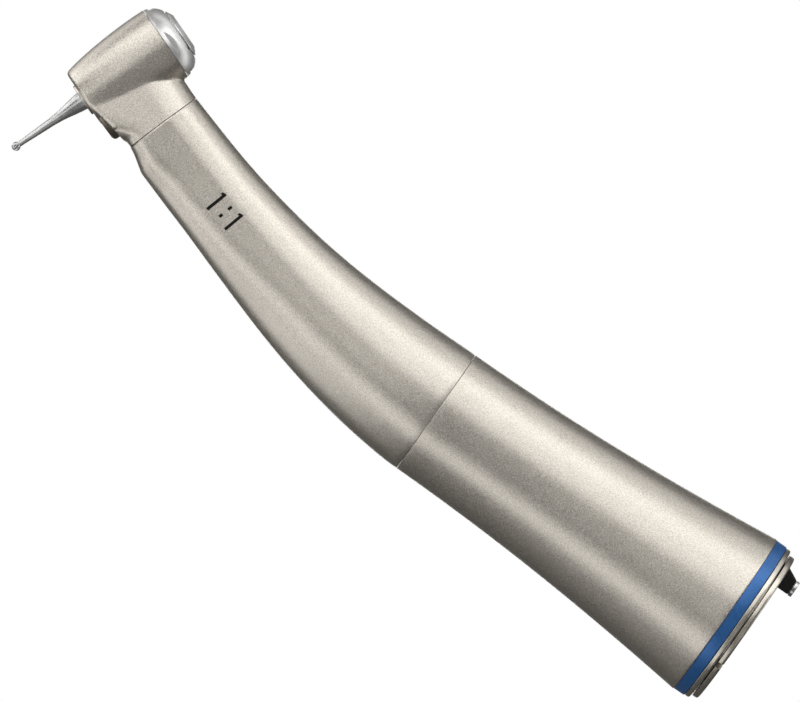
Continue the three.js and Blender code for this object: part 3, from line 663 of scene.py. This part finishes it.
def stub_field(p, seam):
    """Roughly the distance outside the neck stub, a half ellipse above and steeper sided below, which
    deepens towards the barrel."""
    t = 1 - p[:, 0] / seam.x
    side, high, low = stub_reach(t)
    rise = p[:, 2] - stub_centre(p[:, 0], seam)
    reach = np.where(rise > 0, high, low)
    n = np.where(rise > 0, 2, keel(1))
    y, z = np.abs(p[:, 1]) / side, np.abs(rise) / reach
    q = (y ** n + z ** n) ** (1 / n) + 1e-9
    slope = q ** (1 - n) * np.hypot(y ** (n - 1) / side, z ** (n - 1) / reach) + 1e-9
    floor = bezier(*STUB_FLOOR, np.linspace(0, 1, 60))
    below = np.interp(p[:, 0], floor[:, 0], floor[:, 1], right=8.0) - p[:, 2]
    rounding = 0.15 + 0.35 * np.clip((6.8 - p[:, 0]) / 3, 0, 1)
    return np.maximum(smooth_max((q - 1) / slope, below, rounding), -p[:, 0])


def head_field(p, seam):
    return smooth_min(barrel_field(p), stub_field(p, seam), FILLET)


def settle(points, field, rounds=6):
    """Moves points along the field's gradient until they lie where the field is zero."""
    step = 1e-3
    for _ in range(rounds):
        value = field(points)
        gradient = np.stack([
            (field(points + step * axis) - field(points - step * axis)) / (2 * step)
            for axis in np.eye(3)
        ], axis=1)
        length = (gradient ** 2).sum(1) + 1e-6
        points = points - np.clip(value / length, -0.3, 0.3)[:, None] * gradient
    return points


def head_blank(seam):
    """Barrel and stub as one remeshed skin in millimetres, before it is settled and cut."""
    side = bezier(*BARREL_LINE, np.linspace(0, 1, 24))
    barrel = [(HEAD_FLOOR, 0), (HEAD_FLOOR, 3.3), *[tuple(v) for v in side], (22, 4.6), (22, 0)]
    blank = lathe("blank", barrel, "Z", segments=96, closed=False)
    rows = []
    floor = bezier(*STUB_FLOOR, np.linspace(0, 1, 60))
    for x in np.linspace(seam.x + 1.2, 0, 16):
        side, high, low = stub_reach(1 - x / seam.x)
        lowest = float(np.interp(x, floor[:, 0], floor[:, 1], right=8.0))
        row = []
        for k in range(96):
            a = 2 * math.pi * k / 96
            rise = math.cos(a) * (high if math.cos(a) > 0 else low)
            row.append((x, side * math.sin(a), max(float(stub_centre(x, seam)) + rise, lowest)))
        rows.append(row)
    stub = ring_object("stub", rows)
    for piece in (blank, stub):
        piece.data.transform(Matrix.Scale(1 / MM, 4))
    bm = bmesh.new()
    bm.from_mesh(blank.data)
    bm.from_mesh(stub.data)
    bm.to_mesh(blank.data)
    bm.free()
    bpy.data.objects.remove(stub)
    remesh = blank.modifiers.new("skin", "REMESH")
    remesh.mode = "VOXEL"
    remesh.voxel_size = 0.11
    apply_modifiers(blank)
    return blank


def trim(bm, point, normal):
    """Cuts off what lies beyond a plane and closes the hole."""
    geometry = bm.verts[:] + bm.edges[:] + bm.faces[:]
    cut = bmesh.ops.bisect_plane(bm, geom=geometry, plane_co=point, plane_no=normal, clear_outer=True)
    edges = [e for e in cut["geom_cut"] if isinstance(e, bmesh.types.BMEdge)]
    bmesh.ops.contextual_create(bm, geom=edges)


def head_housing():
    seam = HEAD.inverted() @ Vector((NECK_SEAM[0], 0, NECK_SEAM[1]))
    lean = SEAM_TILT - HEAD_TILT
    blank = head_blank(seam)
    count = len(blank.data.vertices)
    points = np.empty(count * 3)
    blank.data.vertices.foreach_get("co", points)
    points = settle(points.reshape(-1, 3), lambda p: head_field(p, seam))
    bm = bmesh.new()
    bm.from_mesh(blank.data)
    bm.verts.ensure_lookup_table()
    for vertex, point in zip(bm.verts, points):
        vertex.co = point
    outward = Vector((math.cos(lean), 0, -math.sin(lean)))
    trim(bm, seam - outward * SEAM_GAP / 2, outward)
    trim(bm, Vector((0, 0, CAP_SEAM - 0.05)), Vector((0, 0, 1)))
    bmesh.ops.transform(bm, matrix=Matrix.Scale(MM, 4) @ HEAD, verts=bm.verts)
    mesh = bpy.data.meshes.new("head_shell")
    bm.to_mesh(mesh)
    bm.free()
    bpy.data.objects.remove(blank)
    piece = finished("head_shell", mesh, 40)
    for low, high, r in HEAD_BORES:
        boolean(piece, rod_tool(low, high, r))
    length, r = STUB_BORE["length"], STUB_BORE["r"]
    boolean(piece, lathe("tool", [(0, 0), (0, r), (length, r), (length, 0)], segments=96, closed=False,
                         place=HEAD @ Matrix.Translation((0, 0, STUB_BORE["z"]))))
    boolean(piece, outlet_body("tool", 0.05, 0.0))
    return piece


def rod_tool(low, high, r, place=HEAD):
    """A round bar for cutting, along the head's axis if no other place is given."""
    return lathe("tool", [(low, 0), (low, r), (high, r), (high, 0)], "Z", place, 96, closed=False)


def outlet_plan(space, count=24):
    """Plan of the outlet, from its front right corner round its rear end to its front left corner."""
    side = OUTLET["half_width"] + space
    end = OUTLET["rear"] + space
    front = OUTLET["front"]
    right = bezier((front, -side), (front + 1.6, -side), (end, -0.73 * side), (end, 0),
                   np.linspace(0, 1, count))
    return [*right, *[(x, -y) for x, y in right[-2::-1]]]


def outlet_body(name, space, edge):
    """The outlet's block under the stub. Its lower rim is rounded by the given edge."""
    rows = []
    levels = [(0, 0)]
    if edge:
        turns = np.linspace(0, math.pi / 2, 7)
        levels = [(edge * (1 - math.sin(a)), edge * (1 - math.cos(a))) for a in turns]
    for inset, lift in levels:
        plan = outlet_plan(space - inset)
        rows.append([(x, y, OUTLET["low"] + OUTLET["rise"] * (x - 2.3) - space + lift)
                     for x, y in plan])
    rows.append([(x, y, OUTLET["top"] + space) for x, y in outlet_plan(space)])
    piece = ring_object(name, rows, HEAD)
    boolean(piece, rod_tool(8, 13, OUTLET["side"] - space))
    return piece


def outlet():
    piece = outlet_body("outlet_block", 0.0, 0.5)
    aim = HEAD @ Matrix.Rotation(LIGHT_AIM, 4, "Y")
    boolean(piece, rod_tool(8, 14, WINDOW_R + 0.06, aim))
    for side in (-1, 1):
        place = HEAD @ Matrix.Translation((SPRAY_HOLE["x"], SPRAY_HOLE["y"] * side, 0))
        boolean(piece, rod_tool(8, 10.6, SPRAY_HOLE["r"], place))
    return piece


def window():
    aim = HEAD @ Matrix.Rotation(LIGHT_AIM, 4, "Y")
    bulge = np.linspace(0, math.pi / 2, 8)
    dome = [(11.15 + 0.1 * (1 - math.cos(a)), WINDOW_R * math.sin(a)) for a in bulge]
    return lathe("window_lens", [*dome, (12.0, WINDOW_R), (12.0, 0)], "Z", aim, 64, closed=False)


def cover_ring():
    return lathe("bur_ring", rounded([
        (9.25, 1.5, 0.06), (9.25, 1.95, 0.1), (HEAD_FLOOR + 0.04, 1.98, 0), (HEAD_FLOOR + 0.04, 2.6, 0.06),
        (10.38, 2.6, 0), (10.38, 1.5, 0.05),
    ]), "Z", HEAD)


# ---------------------------------------------------------------- cap and button
CAP_DOME = ((21.0, 4.58), (21.6, 4.43), (22.25, 4.1), (22.72, 3.34))
FLATS = 4
FLAT_DISTANCE = 4.16
FLAT_FLOOR = 21.38
FIRST_FLAT = math.radians(-84)
SLIT_TURN = math.radians(-52)


def cap_radius(r, z, angle):
    """The dome's radius with the wrench flats cut into it above their floor."""
    if z < FLAT_FLOOR:
        return r
    sector = 2 * math.pi / FLATS
    off = (angle - FIRST_FLAT + sector / 2) % sector - sector / 2
    return float(smooth_min(np.array(r), np.array(FLAT_DISTANCE / math.cos(off)), 0.05))


def slit():
    """The short opening between cap and button, where a blade lifts the button off."""
    return box_tool(2.2, 3.6, -0.32, 0.32, 22.66, 22.85, HEAD @ Matrix.Rotation(SLIT_TURN, 4, "Z"))


def head_cap():
    dome = bezier(*CAP_DOME, np.linspace(0, 1, 56))
    shelf = [FLAT_FLOOR - 0.02, FLAT_FLOOR + 0.005]
    outer = sorted(dome.tolist() + [[z, float(np.interp(z, dome[:, 0], dome[:, 1]))] for z in shelf])
    profile = [(19.7, 3.15), (19.7, 3.95), (CAP_SEAM - 0.02, 3.95), (CAP_SEAM, 4.0), (CAP_SEAM, 4.56),
               (CAP_SEAM + 0.03, 4.59), *outer]
    rim = [(22.75, 3.26), (22.74, 3.18), (22.7, 3.15), (22.3, 3.15), (22.2, 3.5), (21.1, 3.5), (21.1, 3.15)]
    segments = 480
    angles = [2 * math.pi * k / segments for k in range(segments)]
    on_dome = {z for z, _ in outer}
    rows = []
    for z, r in profile + rim:
        radii = [cap_radius(r, z, a) if z in on_dome else r for a in angles]
        rows.append([(q * math.cos(a), q * math.sin(a), z) for q, a in zip(radii, angles)])
    piece = ring_object("cap_dome", rows, HEAD, loop=True, sharp=38)
    boolean(piece, slit())
    return piece


def push_button():
    piece = lathe("button_disc", rounded([
        (22.9, 0, 0), (BUTTON_TOP - 0.05, 0, 0), (BUTTON_TOP - 0.05, 1.55, 0.1), (BUTTON_TOP, 1.62, 0.04),
        (BUTTON_TOP, 2.2, 0.12), (22.98, 3.0, 0.08), (22.87, 3.06, 0.03), (22.84, 2.92, 0.01),
        (22.08, 2.92, 0), (22.08, 3.35, 0.04), (21.85, 3.35, 0.04), (21.85, 1.35, 0.04),
        (22.9, 1.35, 0.04),
    ]), "Z", HEAD)
    boolean(piece, slit())
    return piece


SPRING = {"radius": 2.8, "wire": 0.1, "low": 21.18, "rise": 0.52, "turns": 2.25}


def button_spring():
    """The spring under the button, wound from round wire."""
    steps = 160
    rows = []
    for k in range(steps + 1):
        a = 2 * math.pi * SPRING["turns"] * k / steps
        z = SPRING["low"] + SPRING["rise"] * k / steps
        row = []
        for b in np.linspace(0, 2 * math.pi, 16, endpoint=False):
            r = SPRING["radius"] + SPRING["wire"] * math.cos(b)
            row.append((r * math.cos(a), r * math.sin(a), z + SPRING["wire"] * math.sin(b)))
        rows.append(row)
    piece = ring_object("spring_coil", rows, HEAD)
    dress(piece, "spring_steel", replaced=["button_spring"])
    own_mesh(piece)


# ---------------------------------------------------------------- bur
BUR_NECK = ((0.45, 0.325), (1.2, 0.34), (3.2, 0.435), (5, 0.5), (6, 0.6), (6.9, 0.73), (8, 0.93),
            (8.8, 1.06), (9.9, 1.175))
BALL_R = 0.53
BALL_END = 2.55  # angle from its tip at which the ball meets the neck
BLADES = 8
BLADE_BACK = 0.75  # share of a blade's pitch over which the gash deepens
GASH = 0.24  # depth as a share of the radius
TWIST = 0.9  # blades passed per millimetre along the axis
SHANK_R = 1.175


def bur():
    """A round bur: a ball with twisted blades on a tapered neck, and a latch shank."""
    segments = 192
    rows = []
    for a in np.linspace(0.02, BALL_END, 44):
        z = -BALL_R * math.cos(a)
        r = BALL_R * math.sin(a)
        row = []
        for k in range(segments):
            turn = 2 * math.pi * k / segments
            tooth = (BLADES * turn / (2 * math.pi) + TWIST * z) % 1
            rise = (tooth / BLADE_BACK) ** 1.3
            fall = (1 - tooth) / (1 - BLADE_BACK)
            fade = math.sin(a) ** 0.5 * min(1, (BALL_END - a) / 0.35)
            cut = 1 - GASH * (rise if tooth < BLADE_BACK else fall) * fade
            row.append((r * cut * math.cos(turn), r * cut * math.sin(turn), z))
        rows.append(row)
    smooth = np.array(BUR_NECK)
    heights = np.linspace(0.52, 9.9, 70)
    neck = [(z, float(np.interp(z, smooth[:, 0], smooth[:, 1]))) for z in heights]
    shank = rounded([(9.9, SHANK_R, 0), (19.9, SHANK_R, 0.06), (19.9, 0.9, 0.06), (20.5, 0.9, 0.06),
                     (20.5, SHANK_R, 0.06), (21.45, SHANK_R, 0.15), (21.45, 0.01, 0), (15, 0.01, 0)])
    rows += [circle(r, z, segments) for z, r in neck + shank[:-1]]
    piece = ring_object("round_bur", rows, HEAD, sharp=40)
    boolean(piece, box_tool(0.72, 2, -2, 2, 18.2, 22, HEAD))
    return piece


# ---------------------------------------------------------------- studio
IMAGE_ROLL = math.radians(35)
IMAGE_RIGHT = Vector((math.cos(IMAGE_ROLL), 0, math.sin(IMAGE_ROLL)))
IMAGE_UP = Vector((-math.sin(IMAGE_ROLL), 0, math.cos(IMAGE_ROLL)))
TOWARDS_CAMERA = Vector((0, -1, 0))
MIDDLE = Vector((-50.9, 0, 3.34))
CAMERA_DISTANCE = 1600
WIDTH_SEEN = 91.95
LIGHT_DISTANCE = 600
FLOOR_LEVEL = -2600
FLOOR_REACH = 9000
SURROUND = (0.095, 0.091, 0.086, 1)  # its even light on the piece
SOFTBOXES = (  # name, around, off, wide, deep, power
    ("upper_right", 45, 74, 560, 280, 1.08),
    ("upper_far", 60, 105, 800, 280, 0.70),
    ("upper_near", 65, 42, 420, 460, 1.05),
    ("upper_left", 120, 61, 300, 560, 1.06),
    ("left_near", 150, 22, 300, 300, 0.34),
    ("left_far", 150, 90, 300, 560, 0.95),
    ("lower_near", 210, 48, 800, 280, 1.03),
    ("lower_far", 210, 90, 300, 560, 0.64),
    ("lower_right", 300, 35, 300, 560, 0.18),
    ("rim_left", 135, 120, 350, 350, 0.4),
    ("rim_right", 355, 95, 600, 350, 0.8),
    ("behind", 90, 180, 250, 250, 0.6),
)


def placed(back, right, at):
    """A matrix that looks along minus back, from a point in millimetres."""
    up = back.cross(right).normalized()
    right = up.cross(back).normalized()
    return Matrix.Translation(at * MM) @ Matrix((right, up, back)).transposed().to_4x4()


def softbox(name, around, off, wide, deep, power):
    """A soft light on a sphere round the piece. Around is its angle in the picture from the right, off its
    angle from the view line; it reaches wide millimetres round the view line and deep across that."""
    a = math.radians(around)
    p = math.radians(off)
    outwards = IMAGE_RIGHT * math.cos(a) + IMAGE_UP * math.sin(a)
    back = TOWARDS_CAMERA * math.cos(p) + outwards * math.sin(p)
    round_view = IMAGE_UP * math.cos(a) - IMAGE_RIGHT * math.sin(a)
    data = bpy.data.lights.new(name, "AREA")
    data.shape = "RECTANGLE"
    data.size = wide * MM
    data.size_y = deep * MM
    data.energy = power
    data.color = (1.0, 0.985, 0.965)
    light = bpy.data.objects.new(name, data)
    bpy.context.scene.collection.objects.link(light)
    light.matrix_world = placed(back, round_view, MIDDLE + back * LIGHT_DISTANCE)
    light.visible_camera = False


def pale_floor(nodes, links, shader, place):
    """A matt floor that shows pale far below the lights."""
    cloud = noise(nodes, links, place, 4.0, 2.0, 0.5)
    tone = ramp(nodes, links, cloud, (0.84, 0.84, 0.84), (0.88, 0.88, 0.88))
    links.new(tone, shader.inputs["Base Color"])
    links.new(tone, shader.inputs["Emission Color"])
    shader.inputs["Emission Strength"].default_value = 0.8
    shader.inputs["Roughness"].default_value = 0.8


def floor():
    """A plain pale floor that is seen but doesn't light the piece."""
    sides = ((-1, -1), (1, -1), (1, 1), (-1, 1))
    corners = [(x * FLOOR_REACH, y * FLOOR_REACH, FLOOR_LEVEL) for x, y in sides]
    sheet = mesh_object("floor", corners, [(0, 1, 2, 3)])
    sheet.data.materials.append(node_material("floor", pale_floor))
    sheet.visible_diffuse = False
    sheet.visible_glossy = False


def surround():
    """White where the camera sees it, and a dim even light on the piece."""
    world = bpy.data.worlds.new("studio")
    bpy.context.scene.world = world
    world.use_nodes = True
    nodes = world.node_tree.nodes
    links = world.node_tree.links
    nodes.clear()
    output = nodes.new("ShaderNodeOutputWorld")
    seen = nodes.new("ShaderNodeBackground")
    seen.inputs["Color"].default_value = (1, 1, 1, 1)
    lit = nodes.new("ShaderNodeBackground")
    lit.inputs["Color"].default_value = SURROUND
    choose = nodes.new("ShaderNodeMixShader")
    path = nodes.new("ShaderNodeLightPath")
    links.new(path.outputs["Is Camera Ray"], choose.inputs["Fac"])
    links.new(lit.outputs["Background"], choose.inputs[1])
    links.new(seen.outputs["Background"], choose.inputs[2])
    links.new(choose.outputs["Shader"], output.inputs["Surface"])


def camera():
    data = bpy.data.cameras.new("camera")
    data.sensor_width = 36
    data.lens = data.sensor_width * CAMERA_DISTANCE / WIDTH_SEEN
    data.clip_start = 0.1
    data.clip_end = 30
    view = bpy.data.objects.new("camera", data)
    bpy.context.scene.collection.objects.link(view)
    view.matrix_world = placed(TOWARDS_CAMERA, IMAGE_RIGHT, MIDDLE + TOWARDS_CAMERA * CAMERA_DISTANCE)
    bpy.context.scene.camera = view


# ---------------------------------------------------------------- assembly
camera()
floor()
surround()
for box in SOFTBOXES:
    softbox(*box)
bpy.context.scene.view_settings.view_transform = "Standard"
dress_cad_nodes()
dress(grip_sleeve(), "satin_titanium", replaced=["grip_sleeve"])
dress(neck_sleeve(), "satin_titanium", replaced=["neck_sleeve"])
dress(head_housing(), "satin_titanium", replaced=["head_housing"])
dress(head_cap(), "polished_steel", replaced=["head_cap"], material="cap_steel")
dress(push_button(), "polished_steel", "button", replaced=["push_button"], material="cap_steel")
button_spring()
dress(cover_ring(), "polished_steel", replaced=["lower_bearing_cover"], material="satin_ring_metal")
dress(outlet(), "nozzle_metal", replaced=["spray_light_nozzle"])
dress(window(), "optic_glass", replaced=["light_window"])
dress(bur(), "polished_steel", "bur", replaced=["bur"])
dress(colour_ring(), "blue_ring", replaced=["ratio_ring"])
dress(rear_flange(), "satin_ring_metal", replaced=["rear_flange"])
dress(end_ring(), "satin_ring_metal", replaced=["end_ring"])
dress(coupling_sleeve(), "machined_steel", replaced=["coupling_sleeve"])
dress(lock_ring(), "spring_steel", replaced=["motor_lock_ring"])
dress(drive_dog(), "hardened_steel", "rear_shaft", replaced=["drive_dog"])
dress(light_holder(), "black_polymer", replaced=["light_guide_holder"])
dress(ferrule(), "polished_steel", replaced=["light_guide_ferrule"])
dress(rod_tip(), "optic_glass")
ratio_mark()
